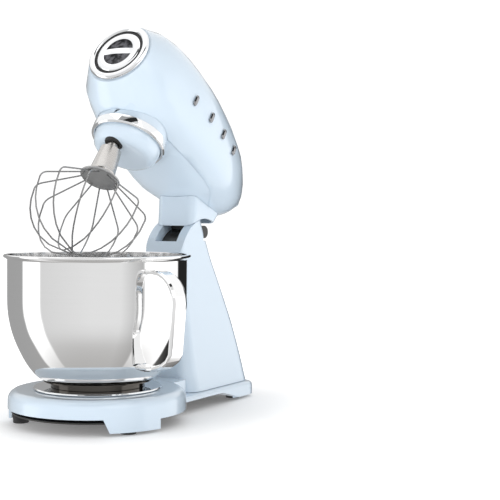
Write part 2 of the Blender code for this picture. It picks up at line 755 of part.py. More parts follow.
def build_head_trim():
    """The bright rings, the cover of the front hub, the socket behind it and the plain side trim."""
    rear = FRONT_RING_Y - GAP
    ring_on_front("front_trim_ring", 34 * MM, FRONT_RING_R, rear, rear - 6 * MM, 2 * MM, "chrome")
    ring_on_front("front_gasket_ring", COVER_R + GAP, 33.6 * MM, rear, rear - 3.6 * MM, 0.6 * MM, "rubber")
    cover_profile = (
        (0, -rear + 1 * MM),
        (COVER_R, -rear + 1 * MM),
        (COVER_R, -rear + 3.6 * MM),
        (COVER_R - 3 * MM, -rear + 5 * MM),
        (0, -rear + 6.4 * MM),
    )
    turned("hub_cover", cover_profile, "chrome", at=(0, 0, FRONT_Z), along="Y")
    socket_r = COVER_R - 1.4 * MM
    socket_profile = (
        (9 * MM, 26 * MM),
        (socket_r, 26 * MM),
        (socket_r, -rear - 1 * MM),
        (22 * MM, -rear - 1 * MM),
        (22 * MM, 32 * MM),
        (9 * MM, 32 * MM),
    )
    turned("attachment_socket", socket_profile, "cast_metal", at=(0, 0, FRONT_Z), along="Y")

    ring_top = HUB_Z - GAP
    profile = (
        (CARRIER_R + RUNNING, RING_LOW_Z + 1.5 * MM),
        (CARRIER_R + RUNNING + 1.5 * MM, RING_LOW_Z),
        (RING_R - 2 * MM, RING_LOW_Z),
        (RING_R, RING_LOW_Z + 2 * MM),
        (RING_R, ring_top),
        (CARRIER_R + RUNNING, ring_top),
    )
    turned("hub_trim_ring", profile, "chrome")

    for side, label in ((-1, "left"), (1, "right")):
        for k in range(MARK_COUNT):
            build_side_mark(f"side_mark_{label}_{k + 1}", side, MARK_FIRST_Y + k * MARK_PITCH)


def build_side_mark(name, side, at_y):
    """One small plain bright bar on the head's side, standing upright on the closed head."""
    y = at_y / MM
    half, top, low, power = smooth_between(HEAD_STATIONS, y)
    height = (top - low) / 2
    middle = (top + low) / 2
    rings = []
    for i in range(7):
        level = MARK_Z / MM + MARK_TALL / MM * (i / 6 - 0.5)
        skin = half * (1 - abs((level - middle) / height) ** power) ** (1 / power)
        wide = MARK_WIDE / MM / 2 * (1 if 0 < i < 6 else 0.6)
        thick = 2.2 if 0 < i < 6 else 1.4
        foot = skin + 0.9
        narrow = wide * 0.6
        out = foot + thick
        corners = ((foot, y - wide), (out, y - narrow), (out, y + narrow), (foot, y + wide))
        rings.append([(side * x * MM, place * MM, level * MM) for x, place in corners])
    loft(name, rings, "chrome")


def build_drive():
    """Motor, bevel drive, planet carrier and output shaft, all on the closed head's axes."""
    low_y, high_y = MOTOR_Y
    start, end = (0, low_y, MOTOR_Z), (0, high_y, MOTOR_Z)
    stator = rod("motor_stator", start, end, MOTOR_R, "copper", segments=32)
    cut(stator, rod("bore", (0, 0.1, MOTOR_Z), (0, 0.2, MOTOR_Z), ROTOR_R + RUNNING, segments=32))
    rotor_ends = (low_y + 4 * MM, high_y - 4 * MM)
    rotor = rod("motor_rotor", (0, rotor_ends[0], MOTOR_Z), (0, rotor_ends[1], MOTOR_Z), ROTOR_R, "copper")
    shaft_r = 4 * MM
    cut(rotor, rod("bore", (0, 0.1, MOTOR_Z), (0, 0.2, MOTOR_Z), shaft_r + GAP))
    shaft = rod("motor_shaft", (0, 36 * MM, MOTOR_Z), (0, 206 * MM, MOTOR_Z), shaft_r, "brushed_steel")
    join(shaft, rod("pinion", (0, 22 * MM, MOTOR_Z), (0, 38 * MM, MOTOR_Z), 6 * MM, end_radius=14 * MM))
    fan_y = (high_y + 6 * MM, high_y + 16 * MM)
    fan = rod("cooling_fan", (0, fan_y[0], MOTOR_Z), (0, fan_y[1], MOTOR_Z), 12 * MM, "dark_plastic")
    for k in range(6):
        blade_low, blade_high = (-1 * MM, fan_y[0], 10 * MM), (1 * MM, fan_y[1], 24 * MM)
        blade = box("blade", blade_low, blade_high)
        spin = Matrix.Rotation(k * math.pi / 3, 4, "Y")
        blade.data.transform(Matrix.Translation((0, 0, MOTOR_Z)) @ spin)
        join(fan, blade)
    cut(fan, rod("bore", (0, 0.1, MOTOR_Z), (0, 0.25, MOTOR_Z), shaft_r + GAP))

    mount = box("motor_mount", (-40 * MM, 106 * MM, 284 * MM), (40 * MM, 112 * MM, 350 * MM), "cast_metal")
    cut(mount, rod("bore", (0, 0.09, MOTOR_Z), (0, 0.13, MOTOR_Z), 8.4 * MM))
    bearing_profile = [(r * MM, y * MM) for r, y in ((4.6, -114), (8, -114), (8, -104), (4.6, -104))]
    turned("motor_bearing", bearing_profile, "brushed_steel", at=(0, 0, MOTOR_Z), along="Y", segments=24)

    gearbox_low, gearbox_high = SEAM_Z + 19 * MM, SEAM_Z + 23 * MM
    plate_edge = rounded(-46 * MM, 46 * MM, -44 * MM, 96 * MM, 16 * MM)
    plate = prism("gearbox_plate", plate_edge, gearbox_low, gearbox_high, "cast_metal")
    cut(plate, rod("bore", (0, 0, 0.25), (0, 0, 0.3), 13.4 * MM))
    bush_profile = (
        (8.6 * MM, gearbox_low - 2 * MM),
        (13 * MM, gearbox_low - 2 * MM),
        (13 * MM, gearbox_high + 2 * MM),
        (8.6 * MM, gearbox_high + 2 * MM),
    )
    turned("carrier_bearing", bush_profile, "bronze", segments=24)

    ring_inner = TOOL_OFFSET + PLANET_GEAR_R + GAP
    ring_low, ring_high = HUB_Z + 4 * MM, HUB_Z + 14 * MM
    profile = (
        (ring_inner, ring_low),
        (CARRIER_R - 1 * MM, ring_low),
        (CARRIER_R - 1 * MM, ring_high),
        (ring_inner, ring_high),
    )
    turned("ring_gear", profile, "cast_metal")

    carrier_top = HUB_Z + 2 * MM
    profile = (
        (0, CARRIER_LOW_Z),
        (30 * MM, CARRIER_LOW_Z),
        (37 * MM, CARRIER_LOW_Z + 3 * MM),
        (41.5 * MM, CARRIER_LOW_Z + 8 * MM),
        (CARRIER_R - 0.4 * MM, CARRIER_LOW_Z + 15 * MM),
        (CARRIER_R, CARRIER_LOW_Z + 20 * MM),
        (CARRIER_R, carrier_top),
        (0, carrier_top),
    )
    carrier = turned("planet_carrier", profile, "enamel")
    axis = -TOOL_OFFSET
    cut(carrier, rod("tool_bore", (0, axis, 0.2), (0, axis, 0.3), SHAFT_R + RUNNING))
    cut(carrier, rod("socket", (0, axis, 0.2), (0, axis, CARRIER_LOW_Z + 9 * MM), 12 * MM))
    shaft_top = MOTOR_Z - 10 * MM
    rod("carrier_shaft", (0, 0, carrier_top + GAP), (0, 0, shaft_top), 8 * MM, "brushed_steel")
    wheel_low = gearbox_high + 4 * MM
    wheel_ends = ((0, 0, wheel_low), (0, 0, wheel_low + 9 * MM))
    wheel = rod("bevel_wheel", *wheel_ends, 24 * MM, "bronze", 19 * MM, 32)
    cut(wheel, rod("bore", (0, 0, 0.25), (0, 0, 0.4), 8 * MM + GAP))

    output_low, output_top = SLEEVE_LOW_Z + 6 * MM, ring_high + 2 * MM
    rod("output_shaft", (0, axis, output_low), (0, axis, output_top), SHAFT_R, "brushed_steel")
    gear = rod("planet_gear", (0, axis, ring_low), (0, axis, ring_high - 1 * MM), PLANET_GEAR_R, "bronze")
    cut(gear, rod("bore", (0, axis, 0.2), (0, axis, 0.3), SHAFT_R + GAP))


def build_lever():
    """The speed slide on top of the head and the plate that its stem passes through."""
    top_z = 376.4 * MM
    half_l, half_w = 11 * MM, 8 * MM
    knob = prism("speed_lever", rounded(-half_w, half_w, -half_l, half_l, 5 * MM), 0.0, 4 * MM, "chrome")
    join(knob, box("stem", (-2.2 * MM, -4 * MM, -14 * MM), (2.2 * MM, 4 * MM, 1 * MM)))
    slope = Matrix.Rotation(-LEVER_SLOPE, 4, "X")
    knob.data.transform(Matrix.Translation((0, LEVER_Y, top_z)) @ slope)
    box("control_board", (-24 * MM, 66 * MM, 352 * MM), (24 * MM, 102 * MM, 354 * MM), "board_green")


def build_neck():
    """The painted neck under the head and the dark hinge drum inside it, placed as with the head up."""
    high = NECK_SECTIONS[-1][0] * MM
    sections = [(level * MM, front * MM, rear * MM) for level, front, rear in NECK_SECTIONS]
    rings = []
    hollow = []
    for level, front, rear in sections:
        half = COLUMN_HALF
        rings.append([(x, y, level) for x, y in rounded(-half, half, front, rear, 11 * MM)])
        wall = 3.5 * MM
        outline = rounded(-half + wall, half - wall, front + wall, rear - wall, 8 * MM)
        hollow.append([(x, y, level - 1 * MM + (2 * MM if level == high else 0)) for x, y in outline])
    neck = loft("neck_shroud", rings, "enamel")
    cut(neck, loft("hollow", hollow), knuckle("knuckle_room", KNUCKLE_R + RUNNING, 0.1, segments=96))

    clear_z = SADDLE_Z + RUNNING
    arm_turn = math.asin((clear_z - HINGE_Z) / DRUM_R) + TILT
    arm_front, arm_rear, arm_top = HINGE_Y - DRUM_R * math.cos(arm_turn), SHELF_Y - RUNNING, 262 * MM
    outline = [(arm_rear, arm_top), (arm_front, arm_top)]
    outline += arc_round_hinge(DRUM_R, math.degrees(math.acos((arm_front - HINGE_Y) / DRUM_R)), 180, 10)
    boss_end = 360 + math.degrees(math.acos((arm_rear - HINGE_Y) / HINGE_BOSS_R))
    outline += arc_round_hinge(HINGE_BOSS_R, 180, boss_end, 16)
    half = COLUMN_HALF - EAR_T - RUNNING
    drum = prism("hinge_drum", outline, -half, half, "dark_plastic", along="X")
    cut(drum, knuckle("pin_bore", PIN_R + GAP, 0.1, segments=32))
    return neck


def trim_neck(neck):
    """Cuts the neck back from the head's underside, leaving a fine seam."""
    form = head_form("head_room", -GAP)
    form.data.transform(tilt_matrix())
    cut(neck, form)
    biggest_only(neck)


def biggest_only(target):
    """Drops the loose crumbs that a cut leaves, keeping the largest body."""
    builder = bmesh.new()
    builder.from_mesh(target.data)
    left = set(builder.verts)
    groups = []
    while left:
        seed = left.pop()
        group = {seed}
        stack = [seed]
        while stack:
            for edge in stack.pop().link_edges:
                for vert in edge.verts:
                    if vert in left:
                        left.remove(vert)
                        group.add(vert)
                        stack.append(vert)
        groups.append(group)
    biggest = max(groups, key=len)
    crumbs = [vert for group in groups if group is not biggest for vert in group]
    bmesh.ops.delete(builder, geom=crumbs, context="VERTS")
    builder.to_mesh(target.data)
    builder.free()


# --- whisk ----------------------------------------------------------------------------------------


def build_whisk():
    """The balloon whisk on the output shaft: sleeve, disc, drive pin and looped wires."""
    axis = -TOOL_OFFSET
    sleeve = rod(
        "whisk_sleeve",
        (0, axis, SLEEVE_LOW_Z),
        (0, axis, SLEEVE_TOP_Z),
        16.5 * MM,
        "brushed_steel",
        13.5 * MM,
        32,
    )
    shaft_room = rod("bore", (0, axis, SLEEVE_LOW_Z + 5 * MM), (0, axis, 0.3), SHAFT_R + GAP)
    pin_z = SLEEVE_TOP_Z - 12 * MM
    pin_r = 2.2 * MM
    low, high = (-0.03, axis - pin_r - GAP, pin_z - pin_r - GAP), (0.03, axis + pin_r + GAP, 0.3)
    cut(sleeve, shaft_room, box("pin_slot", low, high))
    pin_half = 12 * MM
    for side, label in ((-1, "left"), (1, "right")):
        start, end = (side * (SHAFT_R + GAP), axis, pin_z), (side * pin_half, axis, pin_z)
        rod(f"drive_pin_{label}", start, end, pin_r, "brushed_steel", segments=12)

    disc_top = SLEEVE_LOW_Z - GAP
    profile = (
        (0, WHISK_DISC_Z),
        (WHISK_DISC_R - 1 * MM, WHISK_DISC_Z),
        (WHISK_DISC_R, WHISK_DISC_Z + 1 * MM),
        (WHISK_DISC_R, WHISK_DISC_Z + 2.5 * MM),
        (17 * MM, disc_top),
        (0, disc_top),
    )
    turned("whisk_disc", profile, "satin_grey", at=(0, axis, 0), segments=36)

    start_r = WHISK_DISC_R - 4 * MM
    bend = 12 * MM
    middle = (WHISK_R - bend, WHISK_WIDEST_Z)
    lean = math.radians(30)
    shoulder = (middle[0] + bend * math.sin(lean), middle[1] + bend * math.cos(lean))
    for k in range(WIRE_COUNT):
        turn = math.pi * k / WIRE_COUNT
        drop = k * (2 * WIRE_R + GAP)
        tip = WHISK_TIP_Z + drop
        half = [(start_r, WHISK_DISC_Z - WIRE_R - GAP)]
        rise = shoulder[1] - half[0][1]
        half += [(start_r + (shoulder[0] - start_r) * t, half[0][1] + rise * t) for t in (0.5, 1)]
        for i in range(1, 6):
            angle = math.radians(30 + 75 * i / 5)
            half.append((middle[0] + bend * math.sin(angle), middle[1] + bend * math.cos(angle)))
        last_x, last_z = half[-1]
        for i in range(1, 8):
            angle = math.radians(90 * i / 7)
            x = last_x * math.cos(angle) ** 0.62 if i < 7 else 0.0
            half.append((x, tip + (last_z - tip) * (1 - math.sin(angle)) ** 0.8))
        half.pop()
        other = [(-x, z) for x, z in reversed(half)]
        points = [
            (x * math.cos(turn), axis + x * math.sin(turn), z) for x, z in half + [(0.0, tip)] + other
        ]
        wire(f"whisk_wire_{k + 1}", points, WIRE_R, "steel_wire")


# --- assembly -------------------------------------------------------------------------------------

HEAD_UP = {"neck_shroud", "hinge_drum"}
ON_BASE = {
    "base_casting",
    "base_cover",
    "column_casting",
    "bowl_clamp_plate",
    "bowl",
    "bowl_foot",
    "bowl_handle",
    "cord_gland",
    "hinge_pin",
    "release_button",
    "button_spring",
}


def tilt_matrix():
    """Takes the closed head to where it is with the head up."""
    pivot = Matrix.Translation((0, HINGE_Y, HINGE_Z))
    return pivot @ Matrix.Rotation(-TILT, 4, "X") @ pivot.inverted()


def empty(name, location, parent=None, rotation=(0, 0, 0)):
    """A named point that pieces hang from."""
    made = bpy.data.objects.new(name, None)
    made.location = location
    made.rotation_euler = rotation
    made.parent = parent
    parts.objects.link(made)
    return made


def hang_everything():
    """Hangs each piece from the frame or the tilted head, and moves the origin under the whole."""
    frame = empty("mixer_frame", (0, 0, 0))
    head = empty("head_tilt", (0, HINGE_Y, HINGE_Z), frame, (-TILT, 0, 0))
    spin = empty("planet_axis", (0, -HINGE_Y, -HINGE_Z), head)
    bpy.context.view_layer.update()
    for piece in [found for found in parts.objects if found.type == "MESH"]:
        fixed = piece.name in ON_BASE or piece.name.startswith("foot_")
        if fixed:
            piece.parent = frame
        elif piece.name in HEAD_UP:
            piece.parent = head
            piece.matrix_parent_inverse = head.matrix_world.inverted()
        else:
            piece.parent = spin
    bpy.context.view_layer.update()
    corners = [
        piece.matrix_world @ vertex.co
        for piece in parts.objects
        if piece.type == "MESH"
        for vertex in piece.data.vertices
    ]
    middle = [(min(c[k] for c in corners) + max(c[k] for c in corners)) / 2 for k in (0, 1)]
    frame.location = (-middle[0], -middle[1], 0)
    bpy.context.view_layer.update()


def main():
    """Builds the whole mixer."""
    global parts, cutters
    for thing in list(bpy.data.objects):
        bpy.data.objects.remove(thing)
    parts = bpy.data.collections.new("stand_mixer")
    cutters = bpy.data.collections.new("cutters")
    bpy.context.scene.collection.children.link(parts)
    bpy.context.scene.collection.children.link(cutters)

    build_base()
    hook_z = build_clamp_plate()
    build_bowl(hook_z)
    build_column()
    build_button()
    build_head_shells()
    build_head_trim()
    build_drive()
    build_lever()
    neck = build_neck()
    trim_neck(neck)
    build_whisk()
    hang_everything()


main()
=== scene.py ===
"""Looks of the stand mixer: studio, camera, finishes and the finely made pieces that cover the plain solids.

Lengths are in metres, and turned profiles in millimetres. The mixer frame has the bowl's axis at x = y = 0
and the floor at z = 0. The closed-head frame is the mixer frame with the head level over the bowl. PLACED
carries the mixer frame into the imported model's frame, and RAISED carries the closed-head frame there.
"""

import math

import bmesh
import bpy
from mathutils import Matrix, Vector
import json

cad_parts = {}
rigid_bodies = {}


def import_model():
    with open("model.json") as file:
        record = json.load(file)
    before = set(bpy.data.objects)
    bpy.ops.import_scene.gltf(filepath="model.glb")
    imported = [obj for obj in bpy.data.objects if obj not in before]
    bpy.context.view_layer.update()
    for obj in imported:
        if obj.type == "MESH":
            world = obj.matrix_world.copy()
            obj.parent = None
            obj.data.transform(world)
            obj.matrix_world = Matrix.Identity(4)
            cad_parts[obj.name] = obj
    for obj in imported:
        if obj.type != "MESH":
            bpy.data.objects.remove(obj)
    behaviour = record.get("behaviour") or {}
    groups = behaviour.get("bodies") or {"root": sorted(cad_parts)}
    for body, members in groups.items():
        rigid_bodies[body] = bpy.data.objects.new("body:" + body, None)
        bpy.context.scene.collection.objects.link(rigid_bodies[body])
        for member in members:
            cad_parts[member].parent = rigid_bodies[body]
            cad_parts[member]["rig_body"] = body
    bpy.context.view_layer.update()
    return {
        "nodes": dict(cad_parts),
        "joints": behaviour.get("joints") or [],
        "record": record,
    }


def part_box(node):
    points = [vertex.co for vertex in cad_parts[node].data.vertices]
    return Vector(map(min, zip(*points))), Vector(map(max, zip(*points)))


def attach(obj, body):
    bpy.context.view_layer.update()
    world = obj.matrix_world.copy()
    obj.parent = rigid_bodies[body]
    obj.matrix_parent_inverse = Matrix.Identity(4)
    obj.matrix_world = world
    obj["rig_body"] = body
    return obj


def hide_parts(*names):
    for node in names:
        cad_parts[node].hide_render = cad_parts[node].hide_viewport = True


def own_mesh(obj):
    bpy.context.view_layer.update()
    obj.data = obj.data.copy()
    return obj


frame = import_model()

MM = 0.001
TOOL_OFFSET = 25 * MM
FRONT_HUB_Z = 326.5 * MM
JOINTS = {joint["name"]: joint for joint in frame["joints"]}
SLOTS = {row["node"]: row["material_slot"] for row in frame["record"]["subparts"]}
HINGE = Vector(JOINTS["head_tilt"]["pos_m"])
TILT = math.radians(JOINTS["head_tilt"]["range_deg"][1])
BOWL_AXIS = Vector(JOINTS["bowl_twist"]["pos_m"])
SHIFT = Vector((BOWL_AXIS.x, BOWL_AXIS.y, 0))

LIFT = Matrix.Translation(HINGE) @ Matrix.Rotation(-TILT, 4, "X") @ Matrix.Translation(-HINGE)
PLACED = Matrix.Translation(SHIFT)
RAISED = LIFT @ PLACED
WHISK_AXIS = RAISED @ Matrix.Translation((0, -TOOL_OFFSET, 0))
FRONT_AXIS = RAISED @ Matrix.Translation((0, 0, FRONT_HUB_Z)) @ Matrix.Rotation(math.pi / 2, 4, "X")


def show(name, data):
    """A new object of this data, in the scene."""
    made = bpy.data.objects.new(name, data)
    bpy.context.scene.collection.objects.link(made)
    return made


# --- shader building --------------------------------------------------------------------------------------


class Number:
    """A socket that carries a number over a surface. Arithmetic on it adds Math nodes."""

    def __init__(self, nodes, socket):
        self.nodes = nodes
        self.socket = socket

    def _math(self, operation, first, second=None):
        sockets = {0: first} if second is None else {0: first, 1: second}
        return self.nodes.add("Math", {"operation": operation}, sockets)

    def __add__(self, other):
        return self._math("ADD", self, other)

    __radd__ = __add__

    def __mul__(self, other):
        return self._math("MULTIPLY", self, other)

    __rmul__ = __mul__

    def __sub__(self, other):
        return self._math("SUBTRACT", self, other)

    def __rsub__(self, other):
        return self._math("SUBTRACT", other, self)

    def __truediv__(self, other):
        return self._math("DIVIDE", self, other)

    def __rtruediv__(self, other):
        return self._math("DIVIDE", other, self)

    def atan2(self, other):
        return self._math("ARCTAN2", self, other)

    def root(self):
        return self._math("SQRT", self)

    def size(self):
        return self._math("ABSOLUTE", self)

    def within(self, low, high, start=0.0, end=1.0):
        """This number carried from low..high to start..end with soft ends, and held there beyond."""
        settings = {"interpolation_type": "SMOOTHSTEP"}
        sockets = {"Value": self, "From Min": low, "From Max": high, "To Min": start, "To Max": end}
        return self.nodes.add("MapRange", settings, sockets)


# A Mix node has one set of sockets for each data type under the same names, so its colours go by place
MIX_SHARE, MIX_FIRST, MIX_SECOND, MIX_COLOUR = 0, 6, 7, 2


class Nodes:
    """A node tree and the ways of adding to it."""

    def __init__(self, tree):
        self.tree = tree

    def add(self, kind, settings=None, sockets=None, output=0):
        """One node: its settings are set first, then its sockets are linked or given values."""
        node = self.tree.nodes.new("ShaderNode" + kind)
        for name, value in (settings or {}).items():
            if name == "stops":
                self._set_stops(node.color_ramp, value)
            else:
                setattr(node, name, value)
        for name, value in (sockets or {}).items():
            self.plug(node.inputs[name], value)
        return Number(self, node.outputs[output])

    def plug(self, socket, value):
        if isinstance(value, Number):
            self.tree.links.new(value.socket, socket)
        elif hasattr(socket.default_value, "__len__") and len(socket.default_value) == 4:
            socket.default_value = (*value, 1) if len(value) == 3 else value
        else:
            socket.default_value = value

    def _set_stops(self, ramp, stops):
        while len(ramp.elements) < len(stops):
            ramp.elements.new(1.0)
        for element, (place, colour) in zip(ramp.elements, stops):
            element.position = place
            element.color = (*colour, 1)

    def noise(self, scale, detail=2.0):
        """Noise at so many cells a metre, in the object's own coordinates."""
        return self.add("TexNoise", {}, {"Vector": self.places(), "Scale": scale, "Detail": detail})

    def places(self, carry=None):
        """Object coordinates, carried by the inverse of a matrix into that matrix's own frame."""
        here = self.add("TexCoord", output="Object")
        if carry is None:
            return here
        back = carry.inverted()
        sockets = {"Vector": here, "Location": back.translation, "Rotation": back.to_euler()}
        return self.add("Mapping", {"vector_type": "POINT"}, sockets)

    def split(self, vector):
        node = self.tree.nodes.new("ShaderNodeSeparateXYZ")
        self.tree.links.new(vector.socket, node.inputs[0])
        return [Number(self, output) for output in node.outputs]

    def colours(self, share, first, second):
        """First colour where share is 0, second where it is 1."""
        sockets = {MIX_SHARE: share, MIX_FIRST: first, MIX_SECOND: second}
        return self.add("Mix", {"data_type": "RGBA"}, sockets, output=MIX_COLOUR)

    def bump(self, height, distance, strength=1.0):
        return self.add("Bump", {}, {"Height": height, "Distance": distance, "Strength": strength})


def finish_of(name, colour, roughness, metallic=0.0, **constants):
    """A new material with a Principled shader. Constants are set on the shader's own sockets."""
    made = bpy.data.materials.new(name)
    made.use_nodes = True
    nodes = Nodes(made.node_tree)
    shader = made.node_tree.nodes["Principled BSDF"]
    values = {"Base Color": colour, "Roughness": roughness, "Metallic": metallic}
    values.update({key.replace("_", " ").title(): value for key, value in constants.items()})
    for key, value in values.items():
        nodes.plug(shader.inputs[key], value)
    return made, nodes, shader


# --- finishes ---------------------------------------------------------------------------------------------

SKY_BLUE = (0.635, 0.745, 0.85)
SKY_BLUE_DEEP = (0.625, 0.737, 0.845)
BRIGHT_CHROME = (0.86, 0.87, 0.88)
SHEET_STEEL = (0.90, 0.90, 0.90)
BAR_STEEL = (0.62, 0.60, 0.58)
# Near-black painted shade and dark reflections for the hub cover's sunk faces, and a paler one for streaks in
# them
PAINTED_SHADE_BLACK, PAINTED_SHADE_BLACK_PALE = (0.012, 0.012, 0.013), (0.10, 0.10, 0.11)
HUB_CAP_SHADE_EDGE = (20.6 * MM, 20.9 * MM)
BAND_EDGE = (4.2 * MM, 4.5 * MM)


def tinted(colour, share):
    return tuple(share * part for part in colour)


def enamel():
    """Gloss enamel: a slow drift of colour and gloss under a clear coat, with a very faint orange peel."""
    made, nodes, shader = finish_of("enamel_gloss", SKY_BLUE, 0.3, coat_weight=1.0, coat_roughness=0.04)
    drift = nodes.noise(9.0, 2.0)
    nodes.plug(shader.inputs["Base Color"], nodes.colours(drift, SKY_BLUE, SKY_BLUE_DEEP))
    nodes.plug(shader.inputs["Roughness"], nodes.noise(60.0).within(0.3, 0.7, 0.29, 0.32))
    peel = nodes.noise(260.0, 1.0)
    nodes.plug(shader.inputs["Normal"], nodes.bump(peel, 0.000008, 0.12))
    return made


def turned_metal(name, colour, roughness, carry, lines, depth, darker=0.9):
    """Metal polished or brushed round the z axis of carry's frame: fine rings of slightly other gloss."""
    made, nodes, shader = finish_of(name, colour, roughness, 1.0)
    x, y, z = nodes.split(nodes.places(carry))
    reach = (x * x + y * y).root()
    rings = nodes.add("CombineXYZ", {}, {"X": reach * lines, "Y": z * lines, "Z": y.atan2(x) * 1.5})
    scratch = nodes.add("TexNoise", {}, {"Vector": rings, "Scale": 1.0, "Detail": 3.0})
    smear = nodes.noise(14.0, 3.0)
    low, high = roughness * 0.75, roughness * 1.3
    gloss = scratch.within(0.3, 0.7, low, high) + smear.within(0.4, 0.8, 0, 0.03)
    nodes.plug(shader.inputs["Roughness"], gloss)
    nodes.plug(shader.inputs["Base Color"], nodes.colours(scratch, tinted(colour, darker), colour))
    nodes.plug(shader.inputs["Normal"], nodes.bump(scratch, depth, 0.4))
    return made


def plain_metal(name, colour, roughness, grain, depth):
    """Metal with a fine even grain, cast or drawn."""
    made, nodes, shader = finish_of(name, colour, roughness, 1.0)
    grit = nodes.noise(grain, 4.0)
    low, high = roughness * 0.8, min(1, roughness * 1.25)
    nodes.plug(shader.inputs["Roughness"], grit.within(0.25, 0.75, low, high))
    nodes.plug(shader.inputs["Base Color"], nodes.colours(grit, tinted(colour, 0.88), colour))
    nodes.plug(shader.inputs["Normal"], nodes.bump(grit, depth, 0.4))
    return made


def moulded(name, colour, roughness, grain, depth):
    """Moulded plastic or rubber with a fine texture."""
    made, nodes, shader = finish_of(name, colour, roughness)
    grit = nodes.noise(grain, 3.0)
    low, high = roughness * 0.85, min(1, roughness * 1.15)
    nodes.plug(shader.inputs["Roughness"], grit.within(0.25, 0.75, low, high))
    nodes.plug(shader.inputs["Base Color"], nodes.colours(grit, colour, tinted(colour, 1.25)))
    nodes.plug(shader.inputs["Normal"], nodes.bump(grit, depth, 0.5))
    return made


def hub_cap_painted_shade_metal():
    """Chrome with a bright band across its middle; the sunk faces above and below it are painted near-black
    with paler streaks, as painted shade and dark reflections.
    """
    made, nodes, shader = finish_of("chrome_hub_cap_painted_shade", BRIGHT_CHROME, 0.05, 1.0)
    x, y, _ = nodes.split(nodes.places(FRONT_AXIS))
    inside = (x * x + y * y).root().within(*HUB_CAP_SHADE_EDGE, 1.0, 0.0)
    sunk = inside * y.size().within(*BAND_EDGE)
    streaks = nodes.noise(160.0, 3.0).within(0.35, 0.65)
    # the sunk faces: painted shade and dark reflections, near-black with paler streaks
    dark = nodes.colours(streaks, PAINTED_SHADE_BLACK, PAINTED_SHADE_BLACK_PALE)
    nodes.plug(shader.inputs["Base Color"], nodes.colours(sunk, BRIGHT_CHROME, dark))
    nodes.plug(shader.inputs["Roughness"], sunk.within(0, 1, 0.05, 0.22))
    nodes.plug(shader.inputs["Normal"], nodes.bump(sunk, 0.0004, -0.6))
    return made


# By slot, apart from the four in the first lines, which pieces ask for by name
FINISHES = {
    # the hub cover: chrome with painted shade and dark reflections in its sunk faces
    "hub_cap_painted_shade": hub_cap_painted_shade_metal(),
    # the side marks are chrome coloured darker: a painted dark reflection
    "chrome_painted_dark_reflection": turned_metal("chrome_painted_dark_reflection_marks", (0.30, 0.30, 0.31), 0.12, RAISED, 300, 0.000001, 0.9),
    "gland_rubber": moulded("socket_rubber", (0.014, 0.014, 0.014), 0.45, 900, 0.00003),
    # the bowl's foot is polished steel coloured near-black: a painted dark reflection
    "steel_painted_dark_reflection": turned_metal("dark_polished_foot", (0.085, 0.078, 0.070), 0.10, PLACED, 900, 0.0000005),
    "enamel": enamel(),
    "polished_steel": turned_metal("polished_steel_sheet", SHEET_STEEL, 0.035, PLACED, 900, 0.0000003, 0.97),
    "brushed_steel": turned_metal("brushed_steel_sleeve", BAR_STEEL, 0.24, WHISK_AXIS, 2200, 0.00001, 0.75),
    "chrome": turned_metal("chrome_plate", BRIGHT_CHROME, 0.03, RAISED, 300, 0.000001, 0.97),
    "satin_grey": plain_metal("satin_disc", (0.50, 0.50, 0.50), 0.5, 2500, 0.00003),
    "dark_plastic": moulded("black_moulding", (0.022, 0.021, 0.020), 0.38, 900, 0.00003),
    "rubber": moulded("rubber_feet", (0.016, 0.016, 0.017), 0.62, 1400, 0.00006),
    "steel_wire": plain_metal("drawn_wire", (0.30, 0.30, 0.30), 0.22, 1800, 0.000004),
    "cast_metal": plain_metal("cast_zinc", (0.35, 0.35, 0.36), 0.5, 700, 0.00012),
    "copper": plain_metal("copper_windings", (0.62, 0.28, 0.13), 0.35, 1200, 0.00008),
    "bronze": plain_metal("sintered_bronze", (0.50, 0.34, 0.17), 0.42, 1600, 0.00005),
    "board_green": moulded("circuit_board", (0.02, 0.14, 0.06), 0.45, 260, 0.00004),
}


def dress_solids():
    """Gives each carried-over solid the finish of its slot."""
    for node, solid in frame["nodes"].items():
        solid.data.materials.clear()
        solid.data.materials.append(FINISHES[SLOTS[node]])


# --- fine pieces ------------------------------------------------------------------------------------------


WELD = 0.02 * MM
FLAT = math.radians(0.4)
CRISP = 34


def smooth_mesh(builder, name, angle=None):
    """Turns a bmesh into a smooth mesh, with edges sharper than the angle in degrees kept crisp."""
    mesh = bpy.data.meshes.new(name)
    builder.to_mesh(mesh)
    builder.free()
    mesh.shade_smooth()
    if angle is not None:
        mesh.set_sharp_from_angle(angle=math.radians(angle))
    return mesh


def place_piece(name, mesh, node, finish=None):
    """Puts a fine piece where the CAD node is, on the node's body, in this finish or its slot's own."""
    made = show(name, mesh)
    made.data.materials.append(finish or FINISHES[SLOTS[node]])
    body = frame["nodes"][node]["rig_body"]
    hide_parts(node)
    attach(made, body)
    return made


def smooth_copy(node, edge=0.5, angle=CRISP, finish=None):
    """A copy of a CAD solid: flat faces merged, round faces smooth, edges softened by so many millimetres."""
    builder = bmesh.new()
    builder.from_mesh(frame["nodes"][node].data)
    bmesh.ops.remove_doubles(builder, verts=builder.verts, dist=WELD)
    bmesh.ops.dissolve_limit(
        builder, angle_limit=FLAT, verts=builder.verts, edges=builder.edges, delimit={"NORMAL"}
    )
    name = node + "_fine"
    made = place_piece(name, smooth_mesh(builder, name, angle), node, finish)
    if edge:
        bevel = made.modifiers.new("edge", "BEVEL")
        bevel.width = edge * MM
        bevel.segments = 2
        bevel.limit_method = "ANGLE"
        bevel.angle_limit = math.radians(angle)
    weighted = made.modifiers.new("shading", "WEIGHTED_NORMAL")
    weighted.keep_sharp = True
    return made


